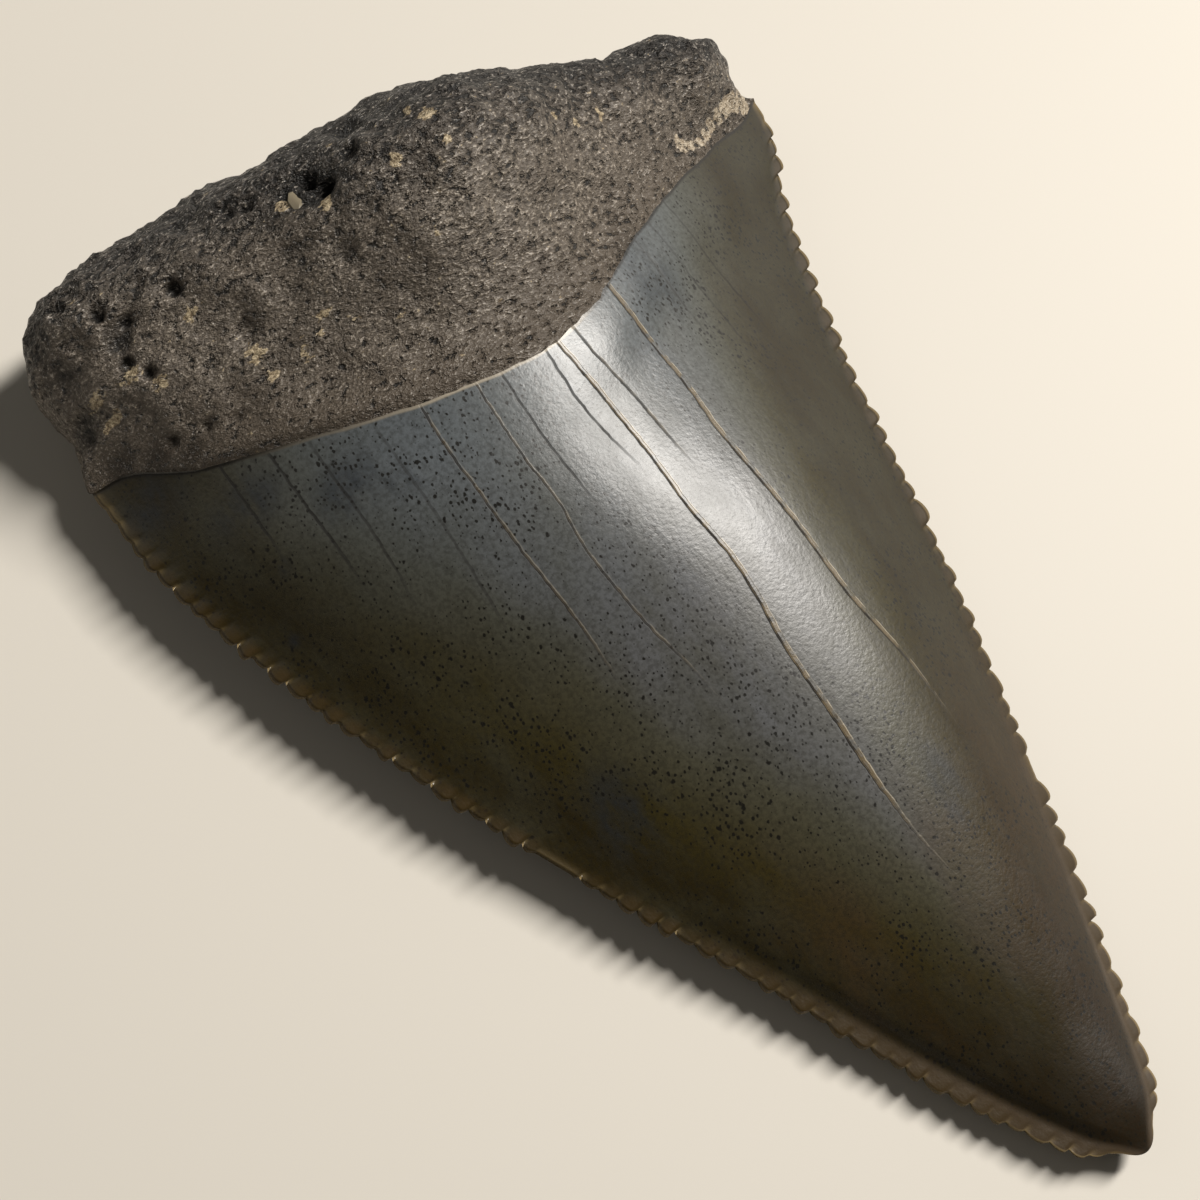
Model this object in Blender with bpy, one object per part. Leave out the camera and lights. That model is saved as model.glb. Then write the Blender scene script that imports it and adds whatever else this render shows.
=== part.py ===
"""Fossil great white shark tooth, one natural piece of root and enamel crown.

The tooth lies on its flatter outer (labial) face with the bulging inner (lingual) face up.
X runs across the width, +Y from the tip towards the root and +Z up from the surface it lies on.
Lengths are in millimetres and become metres at the end. Each face is a flat sheet over u and v
that is bent to shape: u runs from -1 at the left edge to 1 at the right edge, and v from 0 at the
tip over 1 at the enamel's end to 2 at the root's basal edge. Inside the root, w is v - 1. Y is 0
at the two corners where the crown's cutting edges meet the root.
"""
import bpy
import bmesh
from math import exp, pi, sin, sqrt
from mathutils import Matrix, Vector, noise

MM = 0.001

# Crown outline: (height above the tip, distance from the axis) along each cutting edge.
CROWN_HEIGHT = 50.8
LEFT_EDGE = ((0, 0.8), (2, 2.5), (7.5, 5.3), (16, 9.0), (27, 13.8), (37, 17.3), (45, 19.3), (50.8, 19.7))
RIGHT_EDGE = (
    (0, 0.9), (2, 2.3), (7.5, 4.6), (16, 7.6), (27, 11.1), (37, 13.8), (45, 16.7), (48.5, 18.8), (50.8, 19.5)
)
TIP_ROUNDING = 0.5

# Serrations: how many along each edge, how high, and the worn stretch of the left edge as (v, v).
LEFT_SERRATIONS = 57
RIGHT_SERRATIONS = 49
SERRATION_HEIGHT = 0.42
WORN_STRETCH = (0.495, 0.535)

# Crown faces: level of the cutting edges (v, height), bulge of each face above or below them,
# and how far the lingual face's ridge lies to the right of its middle (v, share of half a width).
EDGE_HEIGHT = ((0.0, 1.6), (0.15, 1.3), (0.5, 2.3), (1.0, 3.0))
LINGUAL_BULGE = 7.0
BULGE_GROWTH = 0.72
BASE_SECTION = 1.2
TIP_SECTION = 0.85
RIDGE_SHIFT = ((0.0, 0.15), (0.45, 0.17), (0.6, 0.13), (0.68, 0.1), (0.76, 0.01), (0.88, -0.11), (1.0, -0.15))
LABIAL_BULGE = 1.35
TIP_DOME = 0.05

# Where the enamel ends: (u, dip towards the tip) on the lingual face, and the labial dip.
LINGUAL_SAG = (
    (-1.0, 0.0), (-0.92, 0.6), (-0.8, 2.8), (-0.6, 5.1), (-0.4, 6.9), (-0.2, 7.9), (-0.05, 8.15), (0.12, 7.4),
    (0.3, 5.6), (0.5, 3.8), (0.75, 2.0), (0.92, 1.0), (1.0, 0.0),
)
LABIAL_SAG = 2.6
ENAMEL_STEP = 0.3

# Root outline: the sides from the crown's corner up, then the basal edge as (u, y).
ROOT_LEFT_SIDE = ((-19.9, 0.0), (-19.2, 2.5), (-19.5, 5.2), (-18.2, 7.3))
ROOT_RIGHT_SIDE = ((19.5, 0.0), (18.4, 0.9), (18.6, 2.2), (17.7, 3.6))
BASAL_EDGE = (
    (-1.0, 7.3), (-0.8, 8.6), (-0.5, 8.6), (-0.15, 7.3), (0.15, 6.7), (0.5, 5.2), (0.8, 4.2), (1.0, 3.6)
)

# Root faces: two lobes, the protuberance between them and the arch under it.
ROOT_RIM_LIFT = 1.8
BASAL_ARCH = 2.6
BASAL_ARCH_WIDTH = 0.42
LOBE_THICKNESS = 4.4
LOBE_THINNING = 1.3
PROTUBERANCE = 3.9
PROTUBERANCE_WIDTH = 0.52
PROTUBERANCE_PLACE = 0.5
PROTUBERANCE_REACH = 0.5
SIDE_ROUNDING = 4.0
LINGUAL_END_ROUNDING = 0.43
LABIAL_END_ROUNDING = 0.4
LABIAL_LOBE_DEPTH = 4.6
LABIAL_HOLLOW = 1.5
LABIAL_HOLLOW_WIDTH = 0.35
ROOT_TAKEOVER = 0.38

# Root surface: lumps all over, and (x, y, radius, depth) of the foramen and the larger pits.
LUMP_SIZE = 3.2
LUMP_HEIGHT = 0.35
FORAMEN = (-5.6, 3.4, 1.6, 1.4)
PITS = ((-8.9, 2.2, 0.9, 0.5), (-2.6, 5.0, 0.9, 0.45), (-15.6, 3.6, 1.0, 0.5), (-11.0, -0.6, 0.8, 0.4))

# Fineness of the faceted solid.
ROWS = 50
COLUMNS = 14
ROOT_ROWS = 8
ROOT_CUTS = 2
POINTS_PER_SERRATION = 3
CLOSE = 1e-6
WELD_DISTANCE = 0.0005

FOSSIL_COLOR = (0.105, 0.112, 0.095, 1.0)
FOSSIL_ROUGHNESS = 0.32


def along(points, at):
    """Read a smooth curve through (place, value) pairs at one place."""
    last = len(points) - 1
    k = 0
    while k < last - 1 and at > points[k + 1][0]:
        k += 1
    x0, y0 = points[k]
    x1, y1 = points[k + 1]
    before = points[max(k - 1, 0)]
    after = points[min(k + 2, last)]
    span = x1 - x0
    slope0 = (y1 - before[1]) / (x1 - before[0]) * span
    slope1 = (after[1] - y0) / (after[0] - x0) * span
    t = min(max((at - x0) / span, 0.0), 1.0)
    keep = (1 + 2 * t) * (1 - t) ** 2
    return keep * y0 + (1 - keep) * y1 + t * (1 - t) * ((1 - t) * slope0 - t * slope1)


def ease(low, high, at):
    """Go smoothly from 0 at low to 1 at high."""
    t = min(max((at - low) / (high - low), 0.0), 1.0)
    return t * t * (3 - 2 * t)


def hump(at, width):
    """A smooth hump, 1 at 0 and falling off over a width."""
    return exp(-((at / width) ** 2))


def rounded(distance, radius):
    """Height, from 0 to 1, of a rounded edge at a distance inside it."""
    t = 1 - min(distance / radius, 1.0)
    return sqrt(max(1 - t * t, 0.0))


def measure_edge(edge):
    """List (share of the edge's length, height above the tip) along a cutting edge."""
    samples = 1000
    places = []
    length = 0.0
    for k in range(samples + 1):
        height = CROWN_HEIGHT * k / samples
        place = Vector((along(edge, height), height))
        if k:
            length += (place - last).length
        last = place
        places.append((length, height))
    return [(reach / length, height) for reach, height in places]


EDGES = {-1: LEFT_EDGE, 1: RIGHT_EDGE}
EDGE_MEASURES = {side: measure_edge(edge) for side, edge in EDGES.items()}


def crown_rim(v, side):
    """Point (x, y) on the cutting edge of one side, v being the share of its length."""
    measure = EDGE_MEASURES[side]
    low = 0
    high = len(measure) - 1
    while high - low > 1:
        middle = (low + high) // 2
        if measure[middle][0] < v:
            low = middle
        else:
            high = middle
    part = (v - measure[low][0]) / (measure[high][0] - measure[low][0])
    height = measure[low][1] + part * (measure[high][1] - measure[low][1])
    return Vector((side * along(EDGES[side], height), height - CROWN_HEIGHT))


def root_rim(w, side):
    """Point (x, y) on the root's side, from the crown's corner to the basal edge."""
    points = ROOT_LEFT_SIDE if side < 0 else ROOT_RIGHT_SIDE
    step = 1 / (len(points) - 1)
    x = along([(k * step, point[0]) for k, point in enumerate(points)], w)
    y = along([(k * step, point[1]) for k, point in enumerate(points)], w)
    return Vector((x, y))


def sag(u, lingual):
    """How far the enamel's end dips from the corners towards the tip."""
    if lingual:
        return along(LINGUAL_SAG, u)
    return LABIAL_SAG * (1 - u * u)


def crown_height(u, v, lingual):
    """Height of a crown face above the level of its cutting edges."""
    dome = rounded(v, TIP_DOME)
    if not lingual:
        return -LABIAL_BULGE * (1 - u * u) * dome
    shift = along(RIDGE_SHIFT, v)
    u = (u - shift) / (1 - shift * u)
    section = (1 - u * u) ** (TIP_SECTION + (BASE_SECTION - TIP_SECTION) * ease(0, 0.6, v))
    return LINGUAL_BULGE * v**BULGE_GROWTH * section * dome


def root_height(u, w, lingual, half_width):
    """Height of a root face above the level of its rim."""
    sides = rounded((1 - abs(u)) * half_width, SIDE_ROUNDING)
    if not lingual:
        hollow = LABIAL_HOLLOW * hump(u, LABIAL_HOLLOW_WIDTH)
        return -sides * rounded(1 - w, LABIAL_END_ROUNDING) * (LABIAL_LOBE_DEPTH - hollow)
    bump = PROTUBERANCE * hump(u, PROTUBERANCE_WIDTH) * hump(w - PROTUBERANCE_PLACE, PROTUBERANCE_REACH)
    lobes = LOBE_THICKNESS - LOBE_THINNING * u * u
    return sides * rounded(1 - w, LINGUAL_END_ROUNDING) * (lobes + bump)


def crown_point(u, v, lingual):
    """Point on the crown's lingual or labial face."""
    rim = crown_rim(v, -1).lerp(crown_rim(v, 1), (u + 1) / 2)
    dip = sag(u, lingual) * v * v
    tip = TIP_ROUNDING * u * u * (1 - ease(0, TIP_DOME, v))
    return Vector((rim.x, rim.y - dip + tip, along(EDGE_HEIGHT, v) + crown_height(u, v, lingual)))


def root_point(u, w, lingual):
    """Point on the root's lingual or labial face."""
    across = (u + 1) / 2
    left = root_rim(w, -1)
    right = root_rim(w, 1)
    left_corner = root_rim(0, -1)
    right_corner = root_rim(0, 1)
    start = left_corner.lerp(right_corner, across).y - sag(u, lingual)
    y = start + (along(BASAL_EDGE, u) - start) * w
    y += (left.y - left_corner.y - (BASAL_EDGE[0][1] - left_corner.y) * w) * (1 - across) ** 4
    y += (right.y - right_corner.y - (BASAL_EDGE[-1][1] - right_corner.y) * w) * across**4
    level = EDGE_HEIGHT[-1][1] + (ROOT_RIM_LIFT + BASAL_ARCH * hump(u, BASAL_ARCH_WIDTH)) * ease(0, 1, w)
    of_root = ease(0.0, ROOT_TAKEOVER, w)
    z = level + crown_height(u, 1.0, lingual) * (1 - of_root)
    z += root_height(u, w, lingual, (right.x - left.x) / 2) * of_root
    if lingual:
        z += ENAMEL_STEP * ease(0.0, 0.04, w) * (1 - of_root) * ease(0.0, 0.3, 1 - abs(u))
    return Vector((left.lerp(right, across).x, y, z))


def serration(v, side):
    """How far, and which way, a serration's crest stands out of a cutting edge."""
    if side < 0 and WORN_STRETCH[0] < v < WORN_STRETCH[1]:
        return Vector((0, 0, 0))
    run = crown_rim(min(v + 0.01, 1), side) - crown_rim(max(v - 0.01, 0), side)
    outwards = Vector((run.y, -run.x, 0)).normalized() * side
    fade = ease(0.0, 0.06, v) * (1 - 0.75 * ease(0.9, 1.0, v))
    return outwards * SERRATION_HEIGHT * fade


def cut_rim(sheet, side, serrations):
    """Part one cutting edge of the flat sheet evenly, with the same points on every serration."""
    pieces = serrations * POINTS_PER_SERRATION
    edges = {}
    for edge in sheet.edges:
        ends = [end.co for end in edge.verts]
        if all(abs(end.x - side) < CLOSE and end.y < 1 + CLOSE for end in ends):
            row = round(min(ends[0].y, ends[1].y) * ROWS)
            cuts = (row + 1) * pieces // ROWS - row * pieces // ROWS - 1
            edges.setdefault(cuts, []).append(edge)
    for cuts, alike in edges.items():
        bmesh.ops.subdivide_edges(sheet, edges=alike, cuts=cuts)
    bmesh.ops.poke(sheet, faces=[face for face in sheet.faces if len(face.verts) > 4])
    rim = [point for point in sheet.verts if abs(point.co.x - side) < CLOSE and point.co.y < 1 + CLOSE]
    rim.sort(key=lambda point: point.co.y)
    for k, point in enumerate(rim):
        point.co.y = k / pieces
        point.co.z = 1 if k % POINTS_PER_SERRATION else 0


def make_sheet(sheet, lingual):
    """Make one face of the tooth as a flat grid over u and v, then bend it to shape."""
    rows = ROWS + ROOT_ROWS
    bmesh.ops.create_grid(sheet, x_segments=COLUMNS, y_segments=rows, size=1.0)
    for point in sheet.verts:
        row = round((point.co.y + 1) / 2 * rows)
        v = row / ROWS if row <= ROWS else 1 + (row - ROWS) / ROOT_ROWS
        point.co = (sin(pi / 2 * point.co.x), v, 0)
    root = [edge for edge in sheet.edges if min(end.co.y for end in edge.verts) > 1 - CLOSE]
    bmesh.ops.subdivide_edges(sheet, edges=root, cuts=ROOT_CUTS, use_grid_fill=True)
    cut_rim(sheet, -1, LEFT_SERRATIONS)
    cut_rim(sheet, 1, RIGHT_SERRATIONS)
    flat = sheet.verts.layers.float_vector.new("flat")
    for point in sheet.verts:
        u, v, crest = point.co
        point[flat] = point.co.copy()
        if v > 1 + CLOSE:
            point.co = root_point(u, v - 1, lingual)
        else:
            point.co = crown_point(u, min(v, 1.0), lingual)
        if crest:
            point.co += serration(v, -1 if u < 0 else 1)


def join_sheets():
    """Join the lingual and labial faces along the rim that they share."""
    body = bmesh.new()
    for lingual in (True, False):
        sheet = bmesh.new()
        make_sheet(sheet, lingual)
        held = bpy.data.meshes.new("sheet")
        sheet.to_mesh(held)
        sheet.free()
        body.from_mesh(held)
        bpy.data.meshes.remove(held)
    bmesh.ops.remove_doubles(body, verts=body.verts, dist=WELD_DISTANCE)
    bmesh.ops.recalc_face_normals(body, faces=body.faces)
    return body


def roughen_root(body):
    """Raise lumps over the root and sink its foramen and pits."""
    flat = body.verts.layers.float_vector["flat"]
    body.normal_update()
    moves = {}
    for point in body.verts:
        v = point[flat].y
        if v <= 1:
            continue
        move = LUMP_HEIGHT * noise.fractal(point.co / LUMP_SIZE, 0.8, 2.0, 3) * ease(1.0, 1.25, v)
        if point.normal.z > 0:
            for x, y, radius, depth in (FORAMEN, *PITS):
                reach = (point.co.xy - Vector((x, y))).length / radius
                move -= depth * (1 - ease(0.35, 1.15, reach))
        moves[point] = point.normal * move
    for point, move in moves.items():
        point.co += move
    body.verts.layers.float_vector.remove(flat)


def flatten_rests(body):
    """Cut the tooth off flat where its lobes and tip lie on the surface."""
    everything = body.verts[:] + body.edges[:] + body.faces[:]
    cut = bmesh.ops.bisect_plane(
        body, geom=everything, dist=1e-5, plane_co=(0, 0, 0), plane_no=(0, 0, 1), clear_inner=True
    )
    rim = [item for item in cut["geom_cut"] if isinstance(item, bmesh.types.BMEdge)]
    bmesh.ops.holes_fill(body, edges=rim, sides=0)
    bmesh.ops.triangulate(body, faces=body.faces)


def centre_on_floor(body):
    """Put the middle of the tooth's underside at the origin and turn millimetres to metres."""
    low = [min(point.co[k] for point in body.verts) for k in range(3)]
    high = [max(point.co[k] for point in body.verts) for k in range(3)]
    centre = Vector(((low[0] + high[0]) / 2, (low[1] + high[1]) / 2, low[2]))
    bmesh.ops.transform(body, matrix=Matrix.Scale(MM, 4) @ Matrix.Translation(-centre), verts=body.verts)
    return centre


def fossil_material():
    """Mineral-stained enamel and dentine, dark grey and faintly glossy."""
    material = bpy.data.materials.new("fossil_tooth")
    material.use_nodes = True
    shader = material.node_tree.nodes["Principled BSDF"]
    shader.inputs["Base Color"].default_value = FOSSIL_COLOR
    shader.inputs["Roughness"].default_value = FOSSIL_ROUGHNESS
    shader.inputs["Metallic"].default_value = 0.0
    return material


for old in list(bpy.data.objects):
    bpy.data.objects.remove(old)

collection = bpy.data.collections.new("fossil_shark_tooth")
bpy.context.scene.collection.children.link(collection)

tooth = join_sheets()
roughen_root(tooth)
flatten_rests(tooth)
centre_on_floor(tooth)

mesh = bpy.data.meshes.new("tooth")
tooth.to_mesh(mesh)
tooth.free()
mesh.materials.append(fossil_material())
mesh.shade_smooth()
mesh.set_sharp_from_angle(angle=pi / 5)
collection.objects.link(bpy.data.objects.new("tooth", mesh))
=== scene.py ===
"""Fossil great white shark tooth lying on its flat side on a pale surface, seen from above."""
from functools import lru_cache
from math import exp, floor, pi, sin, sqrt

import bmesh
import bpy
from mathutils import Matrix, Vector, noise


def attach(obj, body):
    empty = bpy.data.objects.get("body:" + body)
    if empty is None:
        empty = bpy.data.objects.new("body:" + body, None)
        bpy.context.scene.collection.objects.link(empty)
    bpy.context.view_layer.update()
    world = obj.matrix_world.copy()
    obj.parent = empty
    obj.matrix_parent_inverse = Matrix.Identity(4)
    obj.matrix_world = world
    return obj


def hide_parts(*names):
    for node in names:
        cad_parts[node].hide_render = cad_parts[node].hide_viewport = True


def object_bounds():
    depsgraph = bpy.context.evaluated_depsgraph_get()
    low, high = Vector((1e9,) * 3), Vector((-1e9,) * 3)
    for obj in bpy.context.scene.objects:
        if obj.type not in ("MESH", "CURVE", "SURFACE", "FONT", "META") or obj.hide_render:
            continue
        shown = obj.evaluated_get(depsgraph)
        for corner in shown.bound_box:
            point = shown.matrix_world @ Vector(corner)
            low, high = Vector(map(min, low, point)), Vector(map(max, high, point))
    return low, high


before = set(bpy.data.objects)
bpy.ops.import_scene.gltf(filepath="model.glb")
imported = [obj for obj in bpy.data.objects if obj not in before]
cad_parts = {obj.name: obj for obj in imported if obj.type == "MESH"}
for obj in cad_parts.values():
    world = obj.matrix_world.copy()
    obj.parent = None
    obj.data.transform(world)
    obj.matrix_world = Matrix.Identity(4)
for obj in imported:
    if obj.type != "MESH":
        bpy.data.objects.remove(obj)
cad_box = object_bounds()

# The tooth: a broad triangular crown of enamel on a root of dentine with two lobes, grown in one
# piece and turned to mineral in the ground. It lies on its flatter outer, or labial, face, and
# its bulging inner, or lingual, face is up.

# Its form is in millimetres. Each face is a flat sheet over u and v: u runs from -1 at the left
# edge to 1 at the right, and v from 0 at the tip over 1 at the enamel's end to 2 at the root's
# basal edge. w is v - 1.
MM = 0.001
CROWN_HEIGHT = 50.8
LEFT_EDGE = (
    (0, 0.8), (2, 2.5), (7.5, 5.3), (16, 9.0), (27, 13.8), (37, 17.3), (45, 19.3), (50.8, 19.7),
)
RIGHT_EDGE = (
    (0, 0.9), (2, 2.3), (7.5, 4.6), (16, 7.6), (27, 11.1), (37, 13.8), (45, 16.7), (48.5, 18.8),
    (50.8, 19.5),
)
EDGE_HEIGHT = ((0.0, 1.6), (0.15, 1.3), (0.5, 2.3), (1.0, 3.0))
TIP_ROUNDING = 0.5
TIP_DOME = 0.05
LINGUAL_BULGE = 7.0
BULGE_GROWTH = 0.72
BASE_SECTION = 1.2
TIP_SECTION = 0.85
RIDGE_SHIFT = (
    (0.0, 0.15), (0.45, 0.17), (0.6, 0.13), (0.68, 0.1), (0.76, 0.01), (0.88, -0.11), (1.0, -0.15),
)
LABIAL_BULGE = 1.35
LINGUAL_SAG = (
    (-1.0, 0.0), (-0.92, 0.6), (-0.8, 2.8), (-0.6, 5.1), (-0.4, 6.9), (-0.2, 7.9), (-0.05, 8.15),
    (0.12, 7.4), (0.3, 5.6), (0.5, 3.8), (0.75, 2.0), (0.92, 1.0), (1.0, 0.0),
)
LABIAL_SAG = 2.6
END_WAVES = 8
END_WAVE_HEIGHT = 0.22
END_NICKS = 33
END_NICK_HEIGHT = 0.12
ENAMEL_STEP = 0.3
ROOT_LEFT_SIDE = ((-19.9, 0.0), (-19.2, 2.5), (-19.5, 5.2), (-18.2, 7.3))
ROOT_RIGHT_SIDE = ((19.5, 0.0), (18.4, 0.9), (18.6, 2.2), (17.7, 3.6))
BASAL_EDGE = (
    (-1.0, 7.3), (-0.8, 8.6), (-0.5, 8.6), (-0.15, 7.3), (0.15, 6.7), (0.5, 5.2), (0.8, 4.2), (1.0, 3.6)
)
ROOT_RIM_LIFT = 1.8
BASAL_ARCH = 2.6
BASAL_ARCH_WIDTH = 0.42
LOBE_THICKNESS = 4.4
LOBE_THINNING = 1.3
PROTUBERANCE = 3.9
PROTUBERANCE_WIDTH = 0.52
PROTUBERANCE_PLACE = 0.5
PROTUBERANCE_REACH = 0.5
SIDE_ROUNDING = 4.0
LINGUAL_END_ROUNDING = 0.43
LABIAL_END_ROUNDING = 0.4
LABIAL_LOBE_DEPTH = 4.6
LABIAL_HOLLOW = 1.5
LABIAL_HOLLOW_WIDTH = 0.35
ROOT_TAKEOVER = 0.38
RIGHT_CORNER_REACH = 19.506

# The point between the crown's two corners from which x and y are measured.
CORNERS = Vector((cad_box[1][0] / MM - RIGHT_CORNER_REACH, cad_box[0][1] / MM + CROWN_HEIGHT, 0))


def along(points, at):
    """Read a smooth curve through (place, value) pairs at one place."""
    last = len(points) - 1
    k = 0
    while k < last - 1 and at > points[k + 1][0]:
        k += 1
    x0, y0 = points[k]
    x1, y1 = points[k + 1]
    before = points[max(k - 1, 0)]
    after = points[min(k + 2, last)]
    span = x1 - x0
    slope0 = (y1 - before[1]) / (x1 - before[0]) * span
    slope1 = (after[1] - y0) / (after[0] - x0) * span
    t = min(max((at - x0) / span, 0.0), 1.0)
    keep = (1 + 2 * t) * (1 - t) ** 2
    return keep * y0 + (1 - keep) * y1 + t * (1 - t) * ((1 - t) * slope0 - t * slope1)


def ease(low, high, at):
    """Go smoothly from 0 at low to 1 at high."""
    t = min(max((at - low) / (high - low), 0.0), 1.0)
    return t * t * (3 - 2 * t)


def hump(at, width):
    """A smooth hump, 1 at 0 and falling off over a width."""
    return exp(-((at / width) ** 2))


def rounded(distance, radius):
    """Height, from 0 to 1, of a rounded edge at a distance inside it."""
    t = 1 - min(distance / radius, 1.0)
    return sqrt(max(1 - t * t, 0.0))


def measure_edge(edge):
    """List (share of the edge's length, height above the tip) along a cutting edge."""
    samples = 1000
    places = []
    length = 0.0
    for k in range(samples + 1):
        height = CROWN_HEIGHT * k / samples
        place = Vector((along(edge, height), height))
        if k:
            length += (place - last).length
        last = place
        places.append((length, height))
    return [(reach / length, height) for reach, height in places]


EDGES = {-1: LEFT_EDGE, 1: RIGHT_EDGE}
EDGE_MEASURES = {side: measure_edge(edge) for side, edge in EDGES.items()}


@lru_cache(maxsize=None)
def crown_rim(v, side):
    """Point (x, y) on the cutting edge of one side, v being the share of its length."""
    measure = EDGE_MEASURES[side]
    low = 0
    high = len(measure) - 1
    while high - low > 1:
        middle = (low + high) // 2
        if measure[middle][0] < v:
            low = middle
        else:
            high = middle
    part = (v - measure[low][0]) / (measure[high][0] - measure[low][0])
    height = measure[low][1] + part * (measure[high][1] - measure[low][1])
    return Vector((side * along(EDGES[side], height), height - CROWN_HEIGHT))


@lru_cache(maxsize=None)
def root_rim(w, side):
    """Point (x, y) on the root's side, from the crown's corner to the basal edge."""
    points = ROOT_LEFT_SIDE if side < 0 else ROOT_RIGHT_SIDE
    step = 1 / (len(points) - 1)
    x = along([(k * step, point[0]) for k, point in enumerate(points)], w)
    y = along([(k * step, point[1]) for k, point in enumerate(points)], w)
    return Vector((x, y))


def sag(u, lingual):
    """How far the enamel's end, a little ragged, dips from the corners towards the tip."""
    waves = END_WAVE_HEIGHT * noise.noise(Vector((u * END_WAVES, 0, lingual)))
    nicks = END_NICK_HEIGHT * noise.noise(Vector((u * END_NICKS, 5, lingual)))
    ragged = (waves + nicks) * (1 - u * u)
    if lingual:
        return along(LINGUAL_SAG, u) + ragged
    return LABIAL_SAG * (1 - u * u) + ragged


def crown_height(u, v, lingual):
    """Height of a crown face above the level of its cutting edges."""
    dome = rounded(v, TIP_DOME)
    if not lingual:
        return -LABIAL_BULGE * (1 - u * u) * dome
    shift = along(RIDGE_SHIFT, v)
    u = (u - shift) / (1 - shift * u)
    section = (1 - u * u) ** (TIP_SECTION + (BASE_SECTION - TIP_SECTION) * ease(0, 0.6, v))
    return LINGUAL_BULGE * v**BULGE_GROWTH * section * dome


def root_height(u, w, lingual, half_width):
    """Height of a root face above the level of its rim."""
    sides = rounded((1 - abs(u)) * half_width, SIDE_ROUNDING)
    if not lingual:
        hollow = LABIAL_HOLLOW * hump(u, LABIAL_HOLLOW_WIDTH)
        return -sides * rounded(1 - w, LABIAL_END_ROUNDING) * (LABIAL_LOBE_DEPTH - hollow)
    bump = PROTUBERANCE * hump(u, PROTUBERANCE_WIDTH) * hump(w - PROTUBERANCE_PLACE, PROTUBERANCE_REACH)
    lobes = LOBE_THICKNESS - LOBE_THINNING * u * u
    return sides * rounded(1 - w, LINGUAL_END_ROUNDING) * (lobes + bump)


def crown_point(u, v, lingual):
    """Point on the crown's lingual or labial face, before its fine detail."""
    rim = crown_rim(v, -1).lerp(crown_rim(v, 1), (u + 1) / 2)
    dip = sag(u, lingual) * v * v
    tip = TIP_ROUNDING * u * u * (1 - ease(0, TIP_DOME, v))
    return Vector((rim.x, rim.y - dip + tip, along(EDGE_HEIGHT, v) + crown_height(u, v, lingual)))


def root_point(u, w, lingual):
    """Point on the root's lingual or labial face, before its lumps and pits."""
    across = (u + 1) / 2
    left = root_rim(w, -1)
    right = root_rim(w, 1)
    left_corner = root_rim(0, -1)
    right_corner = root_rim(0, 1)
    start = left_corner.lerp(right_corner, across).y - sag(u, lingual)
    y = start + (along(BASAL_EDGE, u) - start) * w
    y += (left.y - left_corner.y - (BASAL_EDGE[0][1] - left_corner.y) * w) * (1 - across) ** 4
    y += (right.y - right_corner.y - (BASAL_EDGE[-1][1] - right_corner.y) * w) * across**4
    level = EDGE_HEIGHT[-1][1] + (ROOT_RIM_LIFT + BASAL_ARCH * hump(u, BASAL_ARCH_WIDTH)) * ease(0, 1, w)
    of_root = ease(0.0, ROOT_TAKEOVER, w)
    z = level + crown_height(u, 1.0, lingual) * (1 - of_root)
    z += root_height(u, w, lingual, (right.x - left.x) / 2) * of_root
    if lingual:
        z += ENAMEL_STEP * ease(0.0, 0.04, w) * (1 - of_root) * ease(0.0, 0.3, 1 - abs(u))
    return Vector((left.lerp(right, across).x, y, z))


# The cutting edges: about fifty rounded serrations on each side, steep towards the tip and
# gentle towards the root, unevenly spaced and worn smooth in places. A short groove runs inwards
# from every notch, and near the tip they sit on a flange below the crown's shoulder.
SERRATIONS = {-1: 57, 1: 49}
SERRATION_HEIGHT = 0.42
SERRATION_REACH = 0.9
SPACING_WANDER = 0.34
LEAN = 0.62
ROUNDNESS = 0.6
WORN = {-1: ((0.495, 0.535),), 1: ((0.308, 0.326),)}
WORN_HEIGHT = 0.3
GROOVE_DEPTH = 0.1
BEAD_SWELL = 0.03
GROOVE_REACH = 0.7
FLANGE_WIDTH = {-1: 1.0, 1: 0.5}
FLANGE_DROP = {-1: 0.55, 1: 0.35}
FLANGE_REACH = {-1: 0.48, 1: 0.3}


def bead(v, side):
    """Height, from 0 in a notch to 1 on a crest, of the serrations at a place on an edge."""
    place = v * SERRATIONS[side]
    place += SPACING_WANDER * noise.noise(Vector((place * 0.45, side * 7.3, 0)))
    number = floor(place)
    height = sin(pi * (place - number) ** LEAN) ** ROUNDNESS
    height *= 0.8 + 0.3 * noise.cell(Vector((number + 0.5, side * 3.5, 0)))
    for start, end in WORN[side]:
        worn = ease(start - 0.006, start + 0.004, v) * (1 - ease(end - 0.004, end + 0.006, v))
        height += (WORN_HEIGHT - height) * worn
    return height * ease(0.0, 0.05, v) * (1 - 0.75 * ease(0.92, 1.0, v))


def edge_move(v, side, inside, lingual):
    """How the serrations, grooves and flange move a crown point that lies inside an edge."""
    height = bead(v, side)
    run = crown_rim(min(v + 0.01, 1), side) - crown_rim(max(v - 0.01, 0), side)
    outwards = Vector((run.y, -run.x, 0)).normalized() * side
    move = outwards * SERRATION_HEIGHT * height * max(1 - inside / SERRATION_REACH, 0) ** 2
    share = min(inside / GROOVE_REACH, 1)
    swell = 5.3 * share * (1 - share) ** 2 * ease(0.0, 0.06, v) * (1 - ease(0.93, 1.0, v))
    lift = BEAD_SWELL * height * (1 - share) - GROOVE_DEPTH * (1 - height) ** 2
    move.z = lift * swell * (1 if lingual else -0.6)
    return move


def flange(v, side, inside):
    """Share of its height that the crown keeps near an edge, where the flange is."""
    strength = FLANGE_DROP[side] * ease(0.0, 0.05, v) * (1 - ease(0.45, 1.0, v / FLANGE_REACH[side]))
    return 1 - strength * (1 - ease(0.6, 1.45, inside / FLANGE_WIDTH[side]))


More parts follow.
